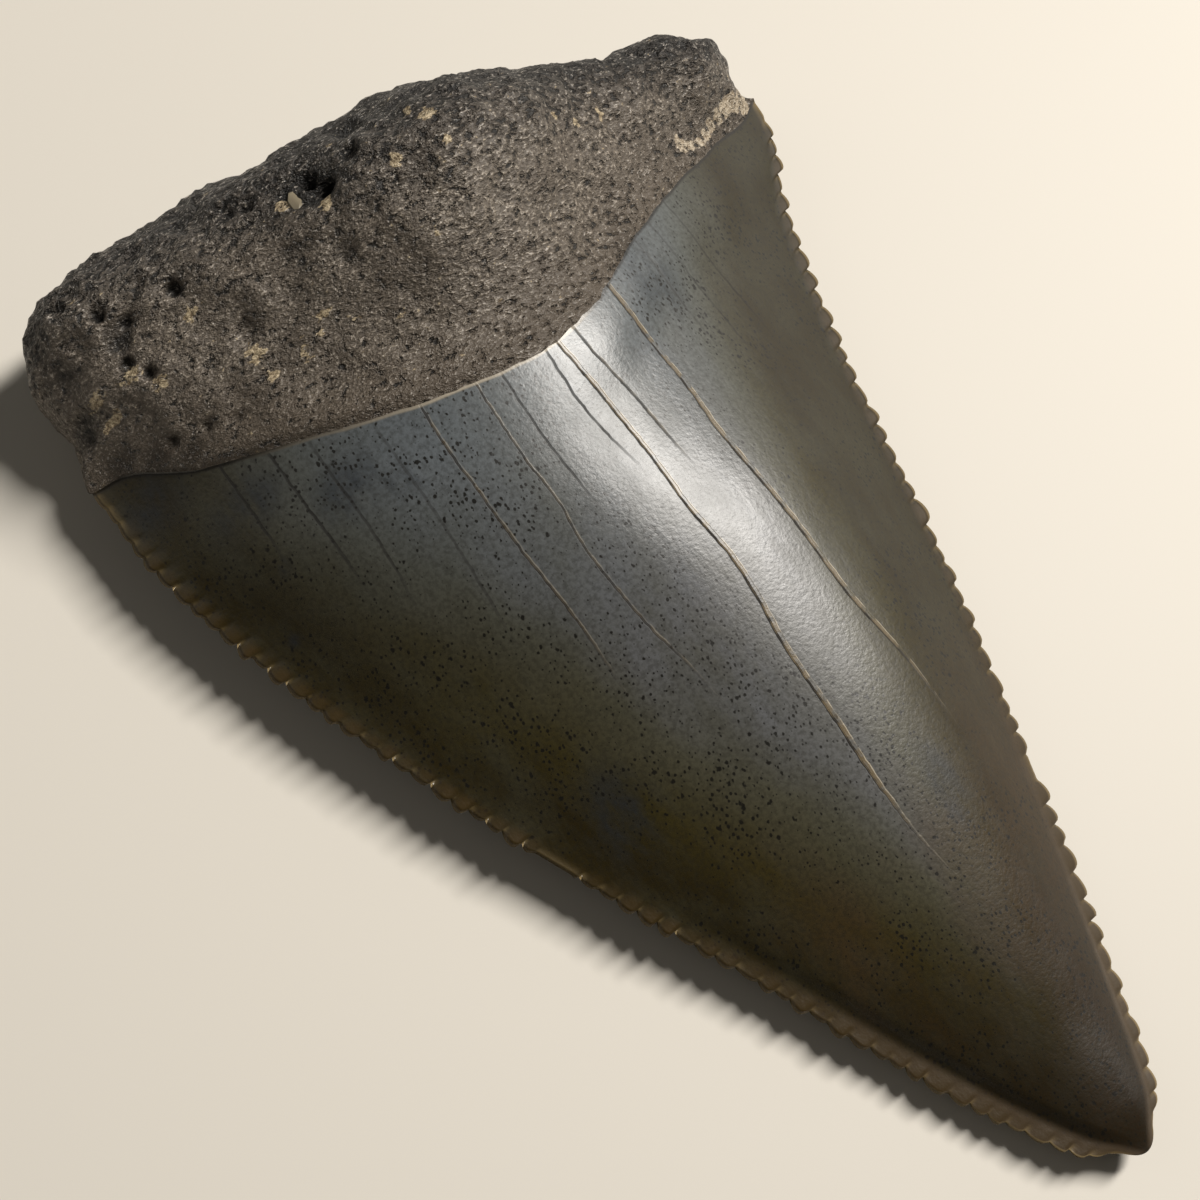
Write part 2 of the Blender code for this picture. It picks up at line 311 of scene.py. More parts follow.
# Cracks that run down the crown from the enamel's end: (y, x) points from the corners' line,
# how dark each is, and how full of tan mineral, which widens it and stands a little proud.
CRACKS = (
    (((-37.6, 0.3), (-34.7, -0.24), (-31.5, -0.4), (-28.0, -0.29), (-24.4, -0.23), (-22.2, 0.08),
      (-19.9, 0.19), (-17.2, -0.06), (-14.9, -0.03), (-11.8, -0.16), (-7.5, -0.6)), 1.0, 1.0),
    (((-32.0, 4.7), (-28.1, 4.5), (-24.4, 4.0), (-20.5, 3.98), (-16.7, 3.78), (-14.9, 3.7),
      (-12.3, 3.85), (-9.7, 3.68), (-6.4, 3.45)), 1.0, 0.95),
    (((-22.8, -7.0), (-19.2, -6.96), (-17.2, -7.09), (-14.5, -7.31), (-11.6, -7.4), (-9.0, -7.39),
      (-6.6, -7.2)), 0.8, 0.38),
    (((-25.6, -3.85), (-22.8, -4.19), (-20.9, -4.57), (-18.6, -4.88), (-16.0, -5.05), (-14.1, -4.85),
      (-11.5, -4.96), (-8.0, -4.8)), 0.75, 0.36),
    (((-16.6, -3.4), (-14.0, -3.6), (-11.6, -3.74), (-7.6, -3.6)), 0.75, 0.0),
    (((-16.4, 1.45), (-14.7, 1.33), (-11.6, 1.09), (-9.3, 0.69), (-7.2, 0.5)), 0.8, 0.45),
    (((-15.2, -0.75), (-12.2, -1.26), (-10.7, -1.39), (-7.4, -1.2)), 0.75, 0.1),
    (((-9.2, -15.2), (-6.4, -15.14), (-3.6, -15.1)), 0.75, 0.0),
    (((-12.6, -13.2), (-8.2, -13.3), (-4.6, -13.3)), 0.75, 0.0),
    (((-14.4, -12.1), (-11.3, -11.84), (-6.4, -11.8)), 0.7, 0.0),
    (((-12.8, 10.4), (-8.5, 10.0), (-3.6, 9.4)), 0.5, 0.0),
    (((-13.6, 8.5), (-8.5, 8.19), (-4.2, 7.7)), 0.5, 0.0),
    (((-12.0, 6.8), (-9.5, 6.7), (-5.4, 6.4)), 0.5, 0.0),
    (((-18.6, -9.6), (-13.0, -9.4), (-7.5, -9.3)), 0.5, 0.0),
)
CRACK_GROUPS = ((1, 2, 6, 7, 10), (0, 3, 9, 12), (4, 5, 8, 11, 13))
CRACK_REACH = 0.85
CRACK_TAPER = 1.6


def crack_marks(group, place):
    """Distance across the nearest crack of a group, and its darkness and fill there."""
    nearest = (CRACK_REACH, 0.0, 0.0)
    for number in CRACK_GROUPS[group]:
        points, dark, fill = CRACKS[number]
        low = points[0][0]
        high = points[-1][0]
        across = place.x - along(points, place.y)
        if number == CRACK_GROUPS[group][0] or abs(across) < abs(nearest[0]):
            fade = ease(0, CRACK_TAPER + 0.2 * (high - low), place.y - low)
            fade *= 1 - ease(0.0, CRACK_TAPER, place.y - high)
            fade *= 1 - ease(0.6 * CRACK_REACH, CRACK_REACH, abs(across))
            nearest = (across, dark * fade, fill * fade)
    return nearest


# The root's surface: lumps, hollows and pores of weathered dentine, roughest along the basal
# edge and on the left lobe, with the nutrient hole near the middle. Pits are (x, y, radius,
# depth), the nutrient hole's first.
LUMP_SIZE = 3.2
LUMP_HEIGHT = 0.35
ROUGH_SIZE = 1.15
ROUGH_HEIGHT = 0.16
PITS = (
    (-5.8, 3.2, 1.5, 0.45), (-5.75, 3.75, 0.42, 1.2), (-5.5, 2.85, 0.5, 1.1), (-8.9, 5.1, 0.5, 0.4),
    (-3.7, 3.15, 0.55, 0.5), (-2.6, 5.0, 0.9, 0.35), (-8.2, 4.6, 0.5, 0.5), (-12.7, 3.7, 0.5, 0.55),
    (-15.9, 4.9, 0.55, 0.6), (-17.0, 6.3, 0.5, 0.5), (-15.6, 3.6, 0.9, 0.35), (-11.2, 0.2, 0.7, 0.3),
    (-14.6, -1.8, 0.35, 0.3), (-13.5, -2.4, 0.3, 0.3), (-16.1, -1.2, 0.35, 0.3), (-15.4, 1.5, 0.4, 0.4),
    (-16.0, 2.4, 0.4, 0.4), (-18.9, 2.0, 0.9, 0.35), (-13.7, 4.8, 0.45, 0.35), (-14.9, 3.9, 0.4, 0.35),
)


def root_relief(place, u, w, upwards):
    """How far the root's weathered surface stands out or in at a point."""
    relief = LUMP_HEIGHT * noise.fractal(place / LUMP_SIZE, 0.8, 2.0, 3) * ease(0.0, 0.25, w)
    coarse = 0.35 + 0.9 * ease(0.35, 0.8, w) + 0.5 * ease(-0.5, -0.85, u) * ease(0.1, 0.4, w)
    rough = noise.fractal(place / ROUGH_SIZE, 0.75, 2.2, 3)
    relief += ROUGH_HEIGHT * coarse * rough * ease(0.0, 0.12, w)
    if upwards:
        for x, y, radius, depth in PITS:
            reach = (place.xy - Vector((x, y))).length / radius
            relief -= depth * (1 - ease(0.35, 1.15, reach))
    return relief


# Stains: tan sediment in the root's pores, a cream crust at its right corner, and manganese that
# darkens root and crown at the left corner and in patches. Each is (x, y, radius, stretch in y).
TAN_STAINS = (
    (-0.1, 2.3, 0.45, 0.9), (8.5, 0.2, 0.3, 1.1), (5.75, 0.45, 0.25, 0.8), (6.8, 0.0, 0.3, 0.8),
    (-0.35, 0.8, 0.25, 1.0), (-0.7, 3.2, 0.3, 0.8), (-2.6, 1.35, 0.3, 1.2), (-2.7, -1.9, 0.25, 1.0),
    (-8.8, -1.85, 0.3, 1.0), (-8.25, -1.4, 0.25, 1.0), (-9.75, -2.15, 0.3, 1.3), (-7.3, -2.4, 0.25, 1.0),
    (-5.6, -3.4, 0.25, 1.0), (-12.6, 2.3, 0.3, 1.5), (-11.3, -0.8, 0.4, 1.5), (-11.4, -1.9, 0.4, 1.3),
    (-16.2, 2.0, 0.55, 0.6), (-15.2, 0.9, 0.45, 0.6), (-17.7, 2.3, 0.6, 0.5), (-17.6, 1.3, 0.5, 0.5),
    (-7.1, 3.5, 0.35, 1.0), (-5.9, 1.95, 0.4, 1.0),
)
CREAM_STAINS = (
    (12.6, -1.7, 0.4, 1.0), (13.2, -1.8, 0.3, 0.9), (13.9, -1.75, 0.35, 0.8), (14.6, -1.45, 0.35, 0.8),
    (15.3, -1.1, 0.35, 0.8), (16.0, -0.8, 0.35, 0.8), (16.7, -0.55, 0.4, 0.8), (17.5, -0.3, 0.5, 0.8),
    (18.4, -0.3, 0.6, 0.8), (18.7, 0.6, 0.5, 1.6), (18.9, 1.5, 0.35, 2.0),
)
DARK_STAINS = (
    (-17.8, -2.4, 1.5, 0.8), (-15.1, -5.5, 1.5, 0.8), (-11.6, -8.0, 1.6, 0.8), (2.2, -33.4, 0.9, 2.2),
    (-9.9, -26.0, 1.4, 1.6), (-15.5, -8.6, 0.35, 1.2), (-16.6, -11.1, 0.3, 1.0), (-9.4, -9.3, 1.0, 0.8),
    (6.0, -7.2, 1.1, 2.0), (-18.2, -0.1, 0.7, 0.9), (-16.9, -1.2, 0.8, 0.8), (-15.7, -2.1, 0.6, 0.8),
)
STAIN_FADE = (0.2, 1.6)


def stains_at(place):
    """Strength of the tan, cream and dark stains at a point."""
    strengths = []
    for stains in (TAN_STAINS, CREAM_STAINS, DARK_STAINS):
        reach = [
            sqrt((place.x - x) ** 2 + ((place.y - y) / tall) ** 2) / radius for x, y, radius, tall in stains
        ]
        strengths.append(1 - ease(*STAIN_FADE, min(reach)))
    return strengths


# The tooth's mesh: two fine grids, one for each face, bent to the form, welded at the rim into
# one closed shell and cut flat where the tooth rests on its tip and both lobes.
CROWN_ROWS = 380
ROOT_ROWS = 90
COLUMNS = 76
RIM_COLUMN_SPREAD = 6.0
SPREAD_POWER = 2.2
WELD_DISTANCE = 0.002


def add_sheet(name):
    """Add a flat grid over x from -1 to 1 and v from 0 to 2, with twice the columns in the root."""
    rows = CROWN_ROWS + ROOT_ROWS
    bpy.ops.object.select_all(action="DESELECT")
    bpy.ops.mesh.primitive_grid_add(x_subdivisions=COLUMNS, y_subdivisions=rows, size=2)
    sheet = bpy.context.object
    sheet.name = name
    for point in sheet.data.vertices:
        row = round((point.co.y + 1) / 2 * rows)
        point.co.y = row / CROWN_ROWS if row <= CROWN_ROWS else 1 + (row - CROWN_ROWS) / ROOT_ROWS
    bpy.ops.object.mode_set(mode="EDIT")
    bpy.ops.mesh.select_mode(type="EDGE")
    bpy.ops.mesh.select_all(action="DESELECT")
    cage = bmesh.from_edit_mesh(sheet.data)
    for edge in cage.edges:
        ends = [end.co.y for end in edge.verts]
        edge.select_set(min(ends) > 1 - 1e-5 and abs(ends[0] - ends[1]) < 1e-5)
    bmesh.update_edit_mesh(sheet.data)
    bpy.ops.mesh.subdivide(number_cuts=1)
    bpy.ops.object.mode_set(mode="OBJECT")
    return sheet


def spread(x, v, half_width):
    """Turn a column's even place into u, with the columns closer together near the crown's rim."""
    inside = 1 - abs(x)
    near = min(RIM_COLUMN_SPREAD / half_width, 1.0)
    near += (1 - near) * ease(1.0, 1.6, v)
    inside = near * inside + (1 - near) * inside**SPREAD_POWER
    return (1 - inside) * (-1 if x < 0 else 1)


def bend_sheet(sheet, lingual):
    """Bend a flat sheet to one face of the tooth and note on its points what the materials need."""
    count = len(sheet.data.vertices)
    names = ("form", "edge", "cracks_1", "cracks_2", "cracks_3")
    values = {name: [0.0] * (3 * count) for name in names}
    for k, point in enumerate(sheet.data.vertices):
        x, v, _ = point.co
        v = round(v, 6)
        side = -1 if x < 0 else 1
        if v <= 1:
            half_width = (crown_rim(v, 1) - crown_rim(v, -1)).length / 2
        else:
            half_width = (root_rim(v - 1, 1) - root_rim(v - 1, -1)).length / 2
        u = spread(x, v, half_width)
        inside = (1 - abs(u)) * half_width
        place = root_point(u, v - 1, lingual) if v > 1 else crown_point(u, v, lingual)
        values["form"][3 * k : 3 * k + 3] = (u, v, inside)
        if v <= 1:
            if lingual:
                level = along(EDGE_HEIGHT, v)
                place.z = level + (place.z - level) * flange(v, side, inside)
            if inside < GROOVE_REACH:
                place += edge_move(v, side, inside, lingual)
            values["edge"][3 * k : 3 * k + 3] = (bead(v, side), 1.0 if lingual else 0.0, 0.0)
        if lingual:
            for group in range(3):
                values[f"cracks_{group + 1}"][3 * k : 3 * k + 3] = crack_marks(group, place)
        point.co = place
    for name in names:
        sheet.data.attributes.new(name, "FLOAT_VECTOR", "POINT")
    for name in names:
        sheet.data.attributes[name].data.foreach_set("vector", values[name])


def weld(sheets, name):
    """Join the two faces of the tooth into one closed mesh."""
    bpy.ops.object.select_all(action="DESELECT")
    for sheet in sheets:
        sheet.select_set(True)
    bpy.context.view_layer.objects.active = sheets[0]
    bpy.ops.object.join()
    whole = bpy.context.object
    whole.name = name
    bpy.ops.object.mode_set(mode="EDIT")
    bpy.ops.mesh.select_all(action="SELECT")
    bpy.ops.mesh.remove_doubles(threshold=WELD_DISTANCE)
    bpy.ops.mesh.normals_make_consistent(inside=False)
    bpy.ops.object.mode_set(mode="OBJECT")
    return whole


def weather_root(tooth):
    """Roughen the root, lay the tooth's high spots flat and set it in its place, in metres."""
    tooth.data.attributes.new("stain", "FLOAT_VECTOR", "POINT")
    form, edge, stain = [tooth.data.attributes[name].data for name in ("form", "edge", "stain")]
    normals = [point.normal.copy() for point in tooth.data.vertices]
    for k, point in enumerate(tooth.data.vertices):
        u, v, _ = form[k].vector
        if normals[k].z > 0:
            stain[k].vector = stains_at(point.co)
        if v > 1:
            relief = root_relief(point.co, u, v - 1, normals[k].z > 0)
            edge[k].vector = (0, 0, relief)
            point.co += normals[k] * relief
        point.co.z = max(point.co.z, 0.0)
        point.co = (point.co + CORNERS) * MM


lingual_face = add_sheet("lingual_face")
bend_sheet(lingual_face, True)
labial_face = add_sheet("labial_face")
bend_sheet(labial_face, False)
tooth = weld((lingual_face, labial_face), "fossil_tooth")
weather_root(tooth)
bpy.ops.object.shade_smooth()


# Fossil enamel: hard, dense and glossy, stained blue-grey in the middle and olive to dark brown
# along the edges by minerals in the ground. Fine dark specks follow its grain, and the cracks are
# dark with tan fill.

# Sizes and heights of its patterns are in millimetres. Each sort of specks has its spacing, and
# its largest radius as a share of that. A crack's dark line is full up to the first distance
# from its course and ends at the second.
ENAMEL_TONES = ((0.0, "#2a2208"), (0.3, "#393214"), (0.6, "#4d4b3d"), (1.0, "#63656a"))
BLOTCH_SIZE = 7.0
CLOUD_SIZE = 2.2
MOTTLING_SIZE = 0.2
MOTTLING_HEIGHT = 0.012
SPECKS = ((0.2, 0.36), (0.45, 0.23))
SPECK_CROWD_SIZE = 4.0
CRACK_BEND = 0.07
CRACK_BEND_SIZE = 0.6
CRACK_LINE = (0.04, 0.085)
CRACK_DEPTH = 0.018
CRUMB_SIZE = 0.7
VEIN_HALF_WIDTH = 0.1
VEIN_HEIGHT = 0.012
# The painted highlight on a crack's raised lip lies this far beyond its vein, with this half width.
LIP_HIGHLIGHT_OFFSET = 0.03
LIP_HIGHLIGHT_HALF_WIDTH = 0.035
RIPPLE_SIZE = 0.9
RIPPLE_HEIGHT = 0.014
DIMPLE_SIZE = 0.55
DIMPLE_HEIGHT = 0.006


def srgb(code):
    """Turn an sRGB hex colour into the linear colour that shaders take."""
    channels = [int(code[k : k + 2], 16) / 255 for k in (1, 3, 5)]
    return [c / 12.92 if c <= 0.04045 else ((c + 0.055) / 1.055) ** 2.4 for c in channels] + [1.0]


def grain(size):
    """Scale of a pattern on Object coordinates whose features measure this many millimetres."""
    return 1 / (size * MM)


def node(tree, kind, inputs=None, stops=(), **settings):
    """Add a node with its settings, its inputs as values or links, and its stops.

    Stops are (input, output) pairs: two numbers each for a range, a number and a colour for a ramp.
    """
    added = tree.nodes.new("ShaderNode" + kind)
    for name, value in settings.items():
        setattr(added, name, value)
    values = dict(inputs or {})
    if kind == "MapRange":
        (values[1], values[3]), (values[2], values[4]) = stops
    else:
        for place, (position, colour) in enumerate(stops):
            elements = added.color_ramp.elements
            element = elements[place] if place < 2 else elements.new(position)
            element.position = position
            element.color = srgb(colour)
    for name, value in values.items():
        if isinstance(value, bpy.types.NodeSocket):
            tree.links.new(value, added.inputs[name])
        else:
            added.inputs[name].default_value = srgb(value) if isinstance(value, str) else value
    return added.outputs


def crack_lines(tree, wander):
    """Shares of dark line, tan vein and painted highlight on the raised lip where the cracks run."""
    totals = [0.0, 0.0, 0.0]
    for group in range(3):
        marks = node(tree, "Attribute", attribute_name=f"cracks_{group + 1}")["Vector"]
        across, dark, fill = node(tree, "SeparateXYZ", {0: marks})
        across = node(tree, "Math", {0: across, 1: wander}, operation="ADD")[0]
        apart = node(tree, "Math", {0: across}, operation="ABSOLUTE")[0]
        width = node(tree, "Math", {0: fill, 1: VEIN_HALF_WIDTH}, operation="MULTIPLY")[0]
        inside = node(tree, "Math", {0: width, 1: apart}, operation="SUBTRACT")[0]
        vein = node(tree, "MapRange", {0: inside}, stops=((-0.02, 0.0), (0.01, 1.0)))[0]
        beside = node(tree, "Math", {0: across, 1: width}, operation="ADD")[0]
        beside = node(tree, "Math", {0: beside}, operation="ABSOLUTE")[0]
        line = node(tree, "MapRange", {0: beside}, stops=((CRACK_LINE[0], 1.0), (CRACK_LINE[1], 0.0)))[0]
        # A painted highlight runs along the crack's raised lip, just right of the vein.
        lip_highlight = node(tree, "Math", {0: across, 1: width}, operation="SUBTRACT")[0]
        lip_highlight = node(tree, "Math", {0: lip_highlight, 1: LIP_HIGHLIGHT_OFFSET}, operation="SUBTRACT")[0]
        lip_highlight = node(tree, "Math", {0: lip_highlight}, operation="ABSOLUTE")[0]
        lip_highlight = node(tree, "MapRange", {0: lip_highlight}, stops=((0.0, 1.0), (LIP_HIGHLIGHT_HALF_WIDTH, 0.0)))[0]
        for k, (shape, strength) in enumerate(((line, dark), (vein, fill), (lip_highlight, fill))):
            added = {0: shape, 1: strength, 2: totals[k]}
            totals[k] = node(tree, "Math", added, operation="MULTIPLY_ADD")[0]
    return [node(tree, "Math", {0: total, 1: 1.0}, operation="MINIMUM")[0] for total in totals]


def enamel_material():
    """Polished-looking fossil enamel: glossy and smooth, with a faint grain along the crown."""
    material = bpy.data.materials.new("mineral_stained_enamel")
    material.use_nodes = True
    tree = material.node_tree
    shader = tree.nodes["Principled BSDF"]
    place = node(tree, "TexCoord")["Object"]
    lengthwise = node(tree, "Mapping", {"Vector": place, "Scale": (1.0, 0.42, 1.0)})[0]
    streaked = node(tree, "Mapping", {"Vector": place, "Scale": (1.0, 0.12, 1.0)})[0]
    form = node(tree, "Attribute", attribute_name="form")["Vector"]
    across, height, inside = node(tree, "SeparateXYZ", {0: form})
    edge = node(tree, "Attribute", attribute_name="edge")["Vector"]
    bead_height = node(tree, "SeparateXYZ", {0: edge})[0]
    stain = node(tree, "Attribute", attribute_name="stain")["Vector"]
    manganese = node(tree, "SeparateXYZ", {0: stain})[2]

    # Wide blotches shift the change from the olive rim to the blue-grey middle, which begins
    # further in on the right, and brownish clouds lie over both.
    blotches = node(
        tree, "TexNoise",
        {"Vector": lengthwise, "Scale": grain(BLOTCH_SIZE), "Detail": 4.0, "Roughness": 0.6},
    )[0]
    clouds = node(
        tree, "TexNoise",
        {"Vector": lengthwise, "Scale": grain(CLOUD_SIZE), "Detail": 5.0, "Roughness": 0.7},
    )[0]
    middle = node(tree, "MapRange", {0: inside}, stops=((0.5, -0.15), (10.0, 0.85)))[0]
    middle = node(tree, "Math", {0: blotches, 1: 0.7, 2: middle}, operation="MULTIPLY_ADD")[0]
    middle = node(tree, "Math", {0: middle, 1: -0.32}, operation="ADD")[0]
    right = node(tree, "MapRange", {0: across}, stops=((0.25, 0.0), (0.9, -0.5)))[0]
    middle = node(tree, "Math", {0: middle, 1: right}, operation="ADD")[0]
    stained = node(tree, "ValToRGB", {0: middle}, stops=ENAMEL_TONES)[0]
    cloud_share = node(tree, "MapRange", {0: clouds}, stops=((0.42, 0.0), (0.7, 0.55)))[0]
    stained = node(tree, "Mix", {0: cloud_share, 6: stained, 7: "#3e3c2c"}, data_type="RGBA")[2]

    # Rusty patches lie in the tip's half.
    rust = node(tree, "MapRange", {0: blotches}, stops=((0.42, 0.0), (0.6, 0.6)))[0]
    low = node(tree, "MapRange", {0: height}, stops=((0.3, 1.0), (0.5, 0.0)))[0]
    rust = node(tree, "Math", {0: rust, 1: low}, operation="MULTIPLY")[0]
    stained = node(tree, "Mix", {0: rust, 6: stained, 7: "#3d2b15"}, data_type="RGBA")[2]

    # The part near the root is bluish, the tip is brown, and manganese darkens ragged patches.
    cast = node(tree, "MapRange", {0: height}, stops=((0.66, 0.0), (0.95, 0.7)))[0]
    cast = node(tree, "Math", {0: cast, 1: middle}, operation="MULTIPLY")[0]
    stained = node(tree, "Mix", {0: cast, 6: stained, 7: "#626a6f"}, data_type="RGBA")[2]
    tip_share = node(tree, "MapRange", {0: height}, stops=((0.02, 0.9), (0.3, 0.0)))[0]
    stained = node(tree, "Mix", {0: tip_share, 6: stained, 7: "#20170a"}, data_type="RGBA")[2]
    ragged = node(tree, "MapRange", {0: clouds}, stops=((0.4, 0.0), (0.6, 0.65)))[0]
    dark_share = node(tree, "Math", {0: manganese, 1: ragged}, operation="MULTIPLY")[0]
    stained = node(tree, "Mix", {0: dark_share, 6: stained, 7: "#18212e"}, data_type="RGBA")[2]

    # Specks of dark mineral, up to 0.2 mm across and a little longer along the grain, lie close
    # together in places, in a finer, dark mottling.
    freckled = node(tree, "Mapping", {"Vector": place, "Scale": (1.0, 0.75, 1.0)})[0]
    mottling = node(
        tree, "TexNoise",
        {"Vector": place, "Scale": grain(MOTTLING_SIZE), "Detail": 2.0, "Roughness": 0.6},
    )[0]
    mottled = node(tree, "MapRange", {0: mottling}, stops=((0.35, 0.4), (0.6, 0.0)))[0]
    stained = node(tree, "Mix", {0: mottled, 6: stained, 7: "#1f1d15"}, data_type="RGBA")[2]
    crowding = node(tree, "TexNoise", {"Vector": place, "Scale": grain(SPECK_CROWD_SIZE), "Detail": 3.0})[0]
    for spacing, largest in SPECKS:
        cells = node(
            tree, "TexVoronoi", {"Vector": freckled, "Scale": grain(spacing)}, voronoi_dimensions="2D"
        )
        luck = node(tree, "SeparateColor", {0: cells["Color"]})[0]
        luck = node(tree, "Math", {0: luck, 1: crowding}, operation="MULTIPLY")[0]
        radius = node(tree, "MapRange", {0: luck}, stops=((0.14, -0.1), (0.55, largest)))[0]
        depth = node(tree, "Math", {0: radius, 1: cells["Distance"]}, operation="SUBTRACT")[0]
        depth = node(tree, "Math", {0: mottling, 1: -0.5, 2: depth}, operation="MULTIPLY_ADD")[0]
        speck_share = node(tree, "MapRange", {0: depth}, stops=((-0.24, 0.0), (-0.16, 0.92)))[0]
        stained = node(tree, "Mix", {0: speck_share, 6: stained, 7: "#12100b"}, data_type="RGBA")[2]

    # Cracks wander by less than a tenth of a millimetre. The fill of each comes and goes.
    wander = node(tree, "TexNoise", {"Vector": place, "Scale": grain(CRACK_BEND_SIZE), "Detail": 3.0})[0]
    wander = node(tree, "MapRange", {0: wander}, stops=((0.0, -CRACK_BEND), (1.0, CRACK_BEND)))[0]
    groove, vein, lip_highlight = crack_lines(tree, wander)
    crumbs = node(tree, "TexNoise", {"Vector": place, "Scale": grain(CRUMB_SIZE), "Detail": 3.0})[0]
    kept = node(tree, "MapRange", {0: crumbs}, stops=((0.4, 0.12), (0.54, 1.0)))[0]
    shown = node(tree, "MapRange", {0: crumbs}, stops=((0.45, 1.0), (0.65, 0.75)))[0]
    groove = node(tree, "Math", {0: groove, 1: shown}, operation="MULTIPLY")[0]
    # The pale colour on the cracks' lips is a painted highlight.
    lip_highlight_share = node(tree, "Math", {0: lip_highlight, 1: kept}, operation="MULTIPLY")[0]
    stained = node(tree, "Mix", {0: lip_highlight_share, 6: stained, 7: "#bbb09b"}, data_type="RGBA")[2]
    stained = node(tree, "Mix", {0: groove, 6: stained, 7: "#0f0c08"}, data_type="RGBA")[2]
    vein_share = node(tree, "Math", {0: vein, 1: kept}, operation="MULTIPLY")[0]
    stained = node(tree, "Mix", {0: vein_share, 6: stained, 7: "#64563c"}, data_type="RGBA")[2]

    # The serrations are dark brown inside, with a thin pale line of worn enamel along the edge and
    # a touch of it in every notch. Towards the tip the flange they stand on is paler: painted light,
    # where the flat ledge faces up into the light.
    painted_ledge_light = node(tree, "MapRange", {0: height}, stops=((0.15, 0.6), (0.42, 0.0)))[0]
    ledge_light_band = node(tree, "MapRange", {0: inside}, stops=((0.5, 1.0), (0.9, 0.0)))[0]
    painted_ledge_light = node(tree, "Math", {0: painted_ledge_light, 1: ledge_light_band}, operation="MULTIPLY")[0]
    stained = node(tree, "Mix", {0: painted_ledge_light, 6: stained, 7: "#5a4c3c"}, data_type="RGBA")[2]
    core = node(tree, "MapRange", {0: inside}, stops=((0.35, 0.85), (0.6, 0.0)))[0]
    core = node(tree, "Math", {0: core, 1: bead_height}, operation="MULTIPLY")[0]
    stained = node(tree, "Mix", {0: core, 6: stained, 7: "#3a2c11"}, data_type="RGBA")[2]
    notch = node(tree, "MapRange", {0: bead_height}, stops=((0.45, 0.0), (0.1, 0.6)))[0]
    notch_band = node(tree, "MapRange", {0: inside}, stops=((0.1, 1.0), (0.4, 0.0)))[0]
    notch = node(tree, "Math", {0: notch, 1: notch_band}, operation="MULTIPLY")[0]
    stained = node(tree, "Mix", {0: notch, 6: stained, 7: "#7d6b47"}, data_type="RGBA")[2]
    worn = node(tree, "MapRange", {0: inside}, stops=((0.02, 0.75), (0.1, 0.0)))[0]
    stained = node(tree, "Mix", {0: worn, 6: stained, 7: "#9c8860"}, data_type="RGBA")[2]

    # The enamel's thin broken end has a painted highlight on the left, where it catches the light,
    # and a painted shadow line that shows dark on the right.
    end = node(tree, "MapRange", {0: height}, stops=((0.9955, 0.0), (0.998, 1.0)))[0]
    painted_end_shadow = node(tree, "Math", {0: end, 1: 0.8}, operation="MULTIPLY")[0]
    stained = node(tree, "Mix", {0: painted_end_shadow, 6: stained, 7: "#191510"}, data_type="RGBA")[2]
    painted_end_highlight = node(tree, "MapRange", {0: across}, stops=((-0.75, 0.0), (-0.3, 0.8)))[0]
    left_only = node(tree, "MapRange", {0: across}, stops=((0.0, 1.0), (0.12, 0.0)))[0]
    painted_end_highlight = node(tree, "Math", {0: painted_end_highlight, 1: left_only}, operation="MULTIPLY")[0]
    painted_end_highlight = node(tree, "Math", {0: end, 1: painted_end_highlight}, operation="MULTIPLY")[0]
    stained = node(tree, "Mix", {0: painted_end_highlight, 6: stained, 7: "#b4aa98"}, data_type="RGBA")[2]
    tree.links.new(stained, shader.inputs["Base Color"])

    # Relief in millimetres: low ripples along the crown, fine pitting and the cracks.
    ripples = node(
        tree, "TexNoise",
        {"Vector": streaked, "Scale": grain(RIPPLE_SIZE), "Detail": 3.0, "Roughness": 0.5},
    )[0]
    dimples = node(
        tree, "TexNoise",
        {"Vector": lengthwise, "Scale": grain(DIMPLE_SIZE), "Detail": 2.0, "Roughness": 0.5},
    )[0]
    sunk = node(tree, "Math", {0: groove, 1: 3.0}, operation="POWER")[0]
    relief = 0.0
    for pattern, tall in (
        (ripples, RIPPLE_HEIGHT), (dimples, DIMPLE_HEIGHT), (mottling, MOTTLING_HEIGHT),
        (vein, VEIN_HEIGHT), (sunk, -CRACK_DEPTH),
    ):
        relief = node(tree, "Math", {0: pattern, 1: tall, 2: relief}, operation="MULTIPLY_ADD")[0]
    bump = node(tree, "Bump", {"Height": relief, "Distance": MM, "Strength": 1.0})[0]
    tree.links.new(bump, shader.inputs["Normal"])

    # It is glossy, less so in the clouds and towards the right edge, and dull in the cracks.
    roughness = node(tree, "MapRange", {0: clouds}, stops=((0.3, 0.31), (0.75, 0.41)))[0]
    roughness = node(tree, "Math", {0: groove, 1: 0.4, 2: roughness}, operation="MULTIPLY_ADD")[0]
    matt = node(tree, "MapRange", {0: across}, stops=((0.3, 0.0), (0.95, 0.3)))[0]
    roughness = node(tree, "Math", {0: matt, 1: roughness}, operation="ADD")[0]
    tree.links.new(roughness, shader.inputs["Roughness"])
    shader.inputs["IOR"].default_value = 1.6
    shader.inputs["Specular IOR Level"].default_value = 0.39
    return material


# Fossil dentine: the root's porous inner tissue, mineralised grey-brown and almost black along
# the basal edge. It is rough and matt, with small painted glints, tan sediment in its pores and
# a crust of cream mineral at the right lobe. Sizes and heights are in millimetres.
DENTINE_TONES = ((0.33, "#463f37"), (0.54, "#6a6156"), (0.72, "#ab9f8f"))
SEDIMENT_TONES = ((0.38, "#75644a"), (0.62, "#c9b898"))
CRUST_TONES = ((0.38, "#93826a"), (0.62, "#cfc2ac"))
PORE_AND_SHADE_BLACK = "#0e0c09"
PATCH_SIZE = 4.0
GRIT_SIZE = 0.34
DUST_SIZE = 0.15
DUST_HEIGHT = 0.14
PORE_DEPTH = 0.15


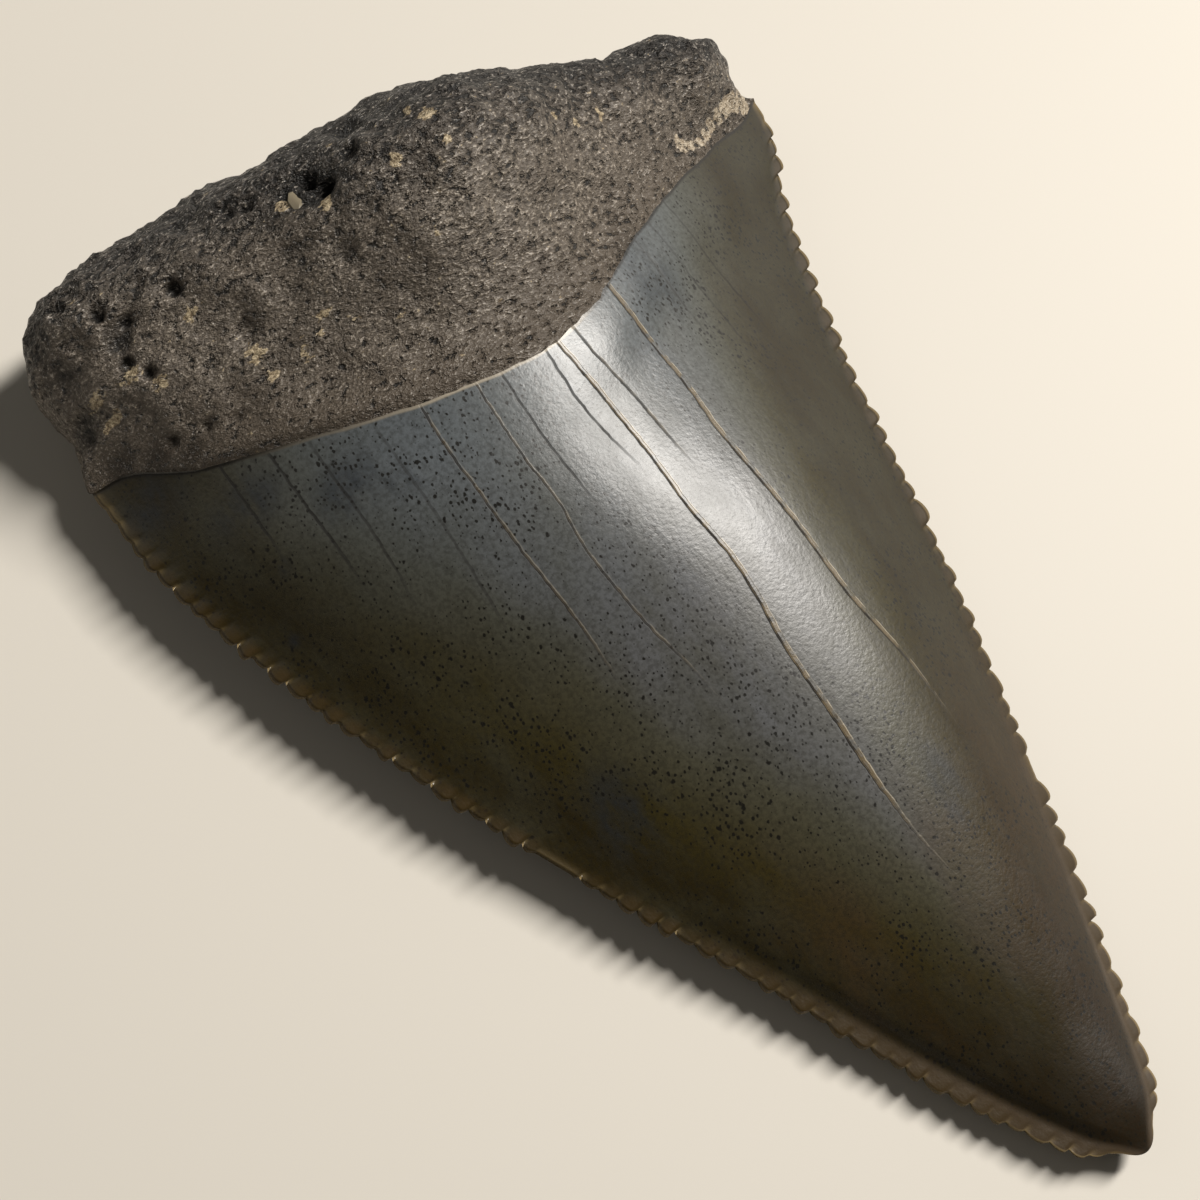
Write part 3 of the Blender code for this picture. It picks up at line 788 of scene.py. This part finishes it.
def dentine_material():
    """Weathered fossil dentine: grey-brown, pored and rough, darker where it is roughest."""
    material = bpy.data.materials.new("weathered_dentine")
    material.use_nodes = True
    tree = material.node_tree
    shader = tree.nodes["Principled BSDF"]
    place = node(tree, "TexCoord")["Object"]
    form = node(tree, "Attribute", attribute_name="form")["Vector"]
    across, height = node(tree, "SeparateXYZ", {0: form})[:2]
    edge = node(tree, "Attribute", attribute_name="edge")["Vector"]
    depth_in = node(tree, "SeparateXYZ", {0: edge})[2]
    stain = node(tree, "Attribute", attribute_name="stain")["Vector"]
    tan, cream, manganese = node(tree, "SeparateXYZ", {0: stain})
    crosswise = node(tree, "Mapping", {"Vector": place, "Scale": (0.6, 1.0, 1.0)})[0]

    # Fine dust, dark and pale, gives the tone, and wide patches darken it. The pores sit in the
    # low places of the grit.
    patches = node(
        tree, "TexNoise",
        {"Vector": place, "Scale": grain(PATCH_SIZE), "Detail": 4.0, "Roughness": 0.6},
    )[0]
    grit = node(
        tree, "TexNoise",
        {"Vector": crosswise, "Scale": grain(GRIT_SIZE), "Detail": 3.0, "Roughness": 0.65},
    )[0]
    dust = node(
        tree, "TexNoise",
        {"Vector": crosswise, "Scale": grain(DUST_SIZE), "Detail": 2.0, "Roughness": 0.7},
    )[0]
    tone = node(tree, "ValToRGB", {0: dust}, stops=DENTINE_TONES)[0]
    patch_share = node(tree, "MapRange", {0: patches}, stops=((0.35, 0.6), (0.65, 0.0)))[0]
    tone = node(tree, "Mix", {0: patch_share, 6: tone, 7: "#554c42"}, data_type="RGBA")[2]

    # A smooth brown band lies next to the enamel. The root is almost black along its basal edge,
    # and manganese stains it dark brown at the left corner.
    beside = node(tree, "MapRange", {0: height}, stops=((1.02, 0.85), (1.3, 0.0)))[0]
    tone = node(tree, "Mix", {0: beside, 6: tone, 7: "#544a3e"}, data_type="RGBA")[2]
    basal = node(tree, "MapRange", {0: height}, stops=((1.4, -0.2), (1.85, 0.95)))[0]
    basal = node(tree, "Math", {0: patches, 1: 0.5, 2: basal}, operation="MULTIPLY_ADD")[0]
    basal = node(tree, "Math", {0: across, 1: 0.4, 2: basal}, operation="MULTIPLY_ADD")[0]
    basal_share = node(tree, "MapRange", {0: basal}, stops=((0.25, 0.0), (1.1, 0.85)))[0]
    tone = node(tree, "Mix", {0: basal_share, 6: tone, 7: "#282727"}, data_type="RGBA")[2]
    tone = node(tree, "Mix", {0: manganese, 6: tone, 7: "#2f261b"}, data_type="RGBA")[2]

    # Pores: small, sharp and black, few next to the enamel and many along the basal edge. The
    # larger hollows are black inside too: painted shade where the surface sinks deepest.
    crowding = node(tree, "MapRange", {0: basal}, stops=((0.0, 0.37), (1.0, 0.5)))[0]
    depth = node(tree, "Math", {0: crowding, 1: grit}, operation="SUBTRACT")[0]
    pore = node(tree, "MapRange", {0: depth}, stops=((-0.01, 0.0), (0.03, 1.0)))[0]
    pore_share = node(tree, "Math", {0: pore, 1: 0.9}, operation="MULTIPLY")[0]
    tone = node(tree, "Mix", {0: pore_share, 6: tone, 7: PORE_AND_SHADE_BLACK}, data_type="RGBA")[2]
    # Painted shade: black in the deepest hollows of the root's surface.
    hollow = node(tree, "MapRange", {0: depth_in}, stops=((-0.15, 0.0), (-0.45, 0.9)))[0]
    tone = node(tree, "Mix", {0: hollow, 6: tone, 7: PORE_AND_SHADE_BLACK}, data_type="RGBA")[2]

    # Tiny pale specks are painted glints of clear mineral grains, most of all along the basal edge.
    painted_glint = node(tree, "MapRange", {0: dust}, stops=((0.6, 0.0), (0.68, 1.0)))[0]
    painted_glint_share = node(tree, "MapRange", {0: basal}, stops=((-0.2, 0.3), (0.8, 0.65)))[0]
    painted_glint_share = node(tree, "Math", {0: painted_glint, 1: painted_glint_share}, operation="MULTIPLY")[0]
    tone = node(tree, "Mix", {0: painted_glint_share, 6: tone, 7: "#c2bab0"}, data_type="RGBA")[2]

    # Sediment and mineral crust sit in ragged spots.
    ragged = node(tree, "Math", {0: grit, 1: 3.0, 2: -1.6}, operation="MULTIPLY_ADD")[0]
    tan_share = node(tree, "Math", {0: tan, 1: ragged}, operation="ADD")[0]
    tan_share = node(tree, "MapRange", {0: tan_share}, stops=((0.45, 0.0), (0.6, 0.9)))[0]
    sediment = node(tree, "ValToRGB", {0: dust}, stops=SEDIMENT_TONES)[0]
    tone = node(tree, "Mix", {0: tan_share, 6: tone, 7: sediment}, data_type="RGBA")[2]
    cream_share = node(tree, "Math", {0: grit, 1: 1.6, 2: cream}, operation="MULTIPLY_ADD")[0]
    cream_share = node(tree, "MapRange", {0: cream_share}, stops=((1.2, 0.0), (1.4, 0.85)))[0]
    crust = node(tree, "ValToRGB", {0: dust}, stops=CRUST_TONES)[0]
    tone = node(tree, "Mix", {0: cream_share, 6: tone, 7: crust}, data_type="RGBA")[2]
    tree.links.new(tone, shader.inputs["Base Color"])

    # Relief in millimetres: the pores' sharp walls, and dust that catches the light.
    relief = node(tree, "MapRange", {0: depth}, stops=((-0.08, PORE_DEPTH), (0.06, 0.0)))[0]
    relief = node(tree, "Math", {0: dust, 1: DUST_HEIGHT, 2: relief}, operation="MULTIPLY_ADD")[0]
    bump = node(tree, "Bump", {"Height": relief, "Distance": MM, "Strength": 1.0})[0]
    tree.links.new(bump, shader.inputs["Normal"])
    roughness = node(tree, "MapRange", {0: dust}, stops=((0.4, 0.7), (0.65, 0.34)))[0]
    tree.links.new(roughness, shader.inputs["Roughness"])
    shader.inputs["IOR"].default_value = 1.55
    return material


tooth.data.materials.clear()
tooth.data.materials.append(enamel_material())
tooth.data.materials.append(dentine_material())
form = tooth.data.attributes["form"].data
for face in tooth.data.polygons:
    of_root = min(form[k].vector.y for k in face.vertices) > 1 - 1e-4
    face.material_index = 1 if of_root else 0
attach(tooth, "root")
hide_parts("tooth")


# The sand grain: a dull, pale crumb of quartz under a millimetre and a half long, worn to an
# uneven pebble and caught in the mouth of the nutrient hole. Half its size each way is given.
GRAIN_PLACE = Vector((-6.4, 3.0, 11.12))
GRAIN_SIZE = (0.42, 0.66, 0.3)
GRAIN_UNEVENNESS = 0.5


def quartz_material():
    """Pale quartz sand, frosted by wear and dusty."""
    material = bpy.data.materials.new("quartz_sand")
    material.use_nodes = True
    shader = material.node_tree.nodes["Principled BSDF"]
    shader.inputs["Base Color"].default_value = srgb("#7f7663")
    shader.inputs["Roughness"].default_value = 0.35
    shader.inputs["IOR"].default_value = 1.54
    return material


bpy.ops.object.select_all(action="DESELECT")
bpy.ops.mesh.primitive_ico_sphere_add(subdivisions=2, radius=MM)
sand_grain = bpy.context.object
sand_grain.name = "sand_grain"
for point in sand_grain.data.vertices:
    uneven = 1 + GRAIN_UNEVENNESS * noise.noise(point.co / MM * 1.3)
    point.co = Vector([c * size * uneven for c, size in zip(point.co, GRAIN_SIZE)])
    point.co += (GRAIN_PLACE + CORNERS) * MM
bpy.ops.object.shade_smooth_by_angle(angle=0.5)
sand_grain.data.materials.append(quartz_material())
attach(sand_grain, "root")


# The surface it lies on: a flat board with an even, matt coat of warm white paint, three metres
# wide, which reaches far beyond the tooth on every side.
SURFACE_WIDTH = 3000
bpy.ops.object.select_all(action="DESELECT")
bpy.ops.mesh.primitive_plane_add(size=SURFACE_WIDTH * MM)
surface = bpy.context.object
surface.name = "pale_surface"
board = bpy.data.materials.new("warm_white_board")
board.use_nodes = True
board.node_tree.nodes["Principled BSDF"].inputs["Base Color"].default_value = srgb("#dad5cb")
board.node_tree.nodes["Principled BSDF"].inputs["Roughness"].default_value = 0.6
surface.data.materials.append(board)


# Studio light: a soft box high on the right, whose reflection is the bright band down the crown,
# a weak fill from the left, and a dim room. Distances and sizes are in millimetres, power in watts.
LIT_PLACE = Vector((2.0, -18.0, 7.0))
KEY_DIRECTION = Vector((0.6, 0.02, 0.8))
KEY_DISTANCE = 450
KEY_SIZE = (65, 220)
KEY_POWER = 2.75
FILL_DIRECTION = Vector((-0.6, 0.5, 0.6))
FILL_DISTANCE = 600
FILL_SIZE = (400, 400)
FILL_POWER = 0.2
ROOM_STRENGTH = 0.085


def soft_box(name, direction, distance, size, power):
    """Add a rectangular area light that faces the crown's middle."""
    target = (LIT_PLACE + CORNERS) * MM
    place = target + direction * distance * MM
    light = bpy.data.lights.new(name, "AREA")
    light.shape = "RECTANGLE"
    light.size, light.size_y = size[0] * MM, size[1] * MM
    light.energy = power
    light.color = srgb("#fffaf3")[:3]
    lamp = bpy.data.objects.new(name, light)
    bpy.context.scene.collection.objects.link(lamp)
    lamp.location = place
    lamp.rotation_euler = (target - place).to_track_quat("-Z", "Y").to_euler()


soft_box("key", KEY_DIRECTION, KEY_DISTANCE, KEY_SIZE, KEY_POWER)
soft_box("fill", FILL_DIRECTION, FILL_DISTANCE, FILL_SIZE, FILL_POWER)
room = bpy.data.worlds.new("dim_room")
room.use_nodes = True
room.node_tree.nodes["Background"].inputs["Color"].default_value = srgb("#cfcabf")
room.node_tree.nodes["Background"].inputs["Strength"].default_value = ROOM_STRENGTH
bpy.context.scene.world = room
bpy.context.scene.view_settings.view_transform = "Standard"


# The camera: it looks down on the tooth from the left side of its crown. In the picture the tip
# points 0.628 to the right for each 0.778 down.
CAMERA_PLACE = Vector((-34.05, -15.98, 86.49)) * MM
CAMERA_TARGET = Vector((-3.57, 3.94, 2.0)) * MM
TIP_RIGHT = 0.628
TIP_DOWN = 0.778
backwards = (CAMERA_PLACE - CAMERA_TARGET).normalized()
tipwards = Vector((0, -1, 0))
tipwards = (tipwards - backwards * tipwards.dot(backwards)).normalized()
rightwards = (TIP_RIGHT * tipwards + TIP_DOWN * backwards.cross(tipwards)).normalized()
turned = Matrix((rightwards, backwards.cross(rightwards), backwards)).transposed().to_4x4()
lens = bpy.data.cameras.new("camera")
lens.lens = 60
lens.sensor_width = 36
lens.clip_start = 0.005
camera = bpy.data.objects.new("camera", lens)
camera.matrix_world = Matrix.Translation(CAMERA_PLACE) @ turned
bpy.context.scene.collection.objects.link(camera)
bpy.context.scene.camera = camera
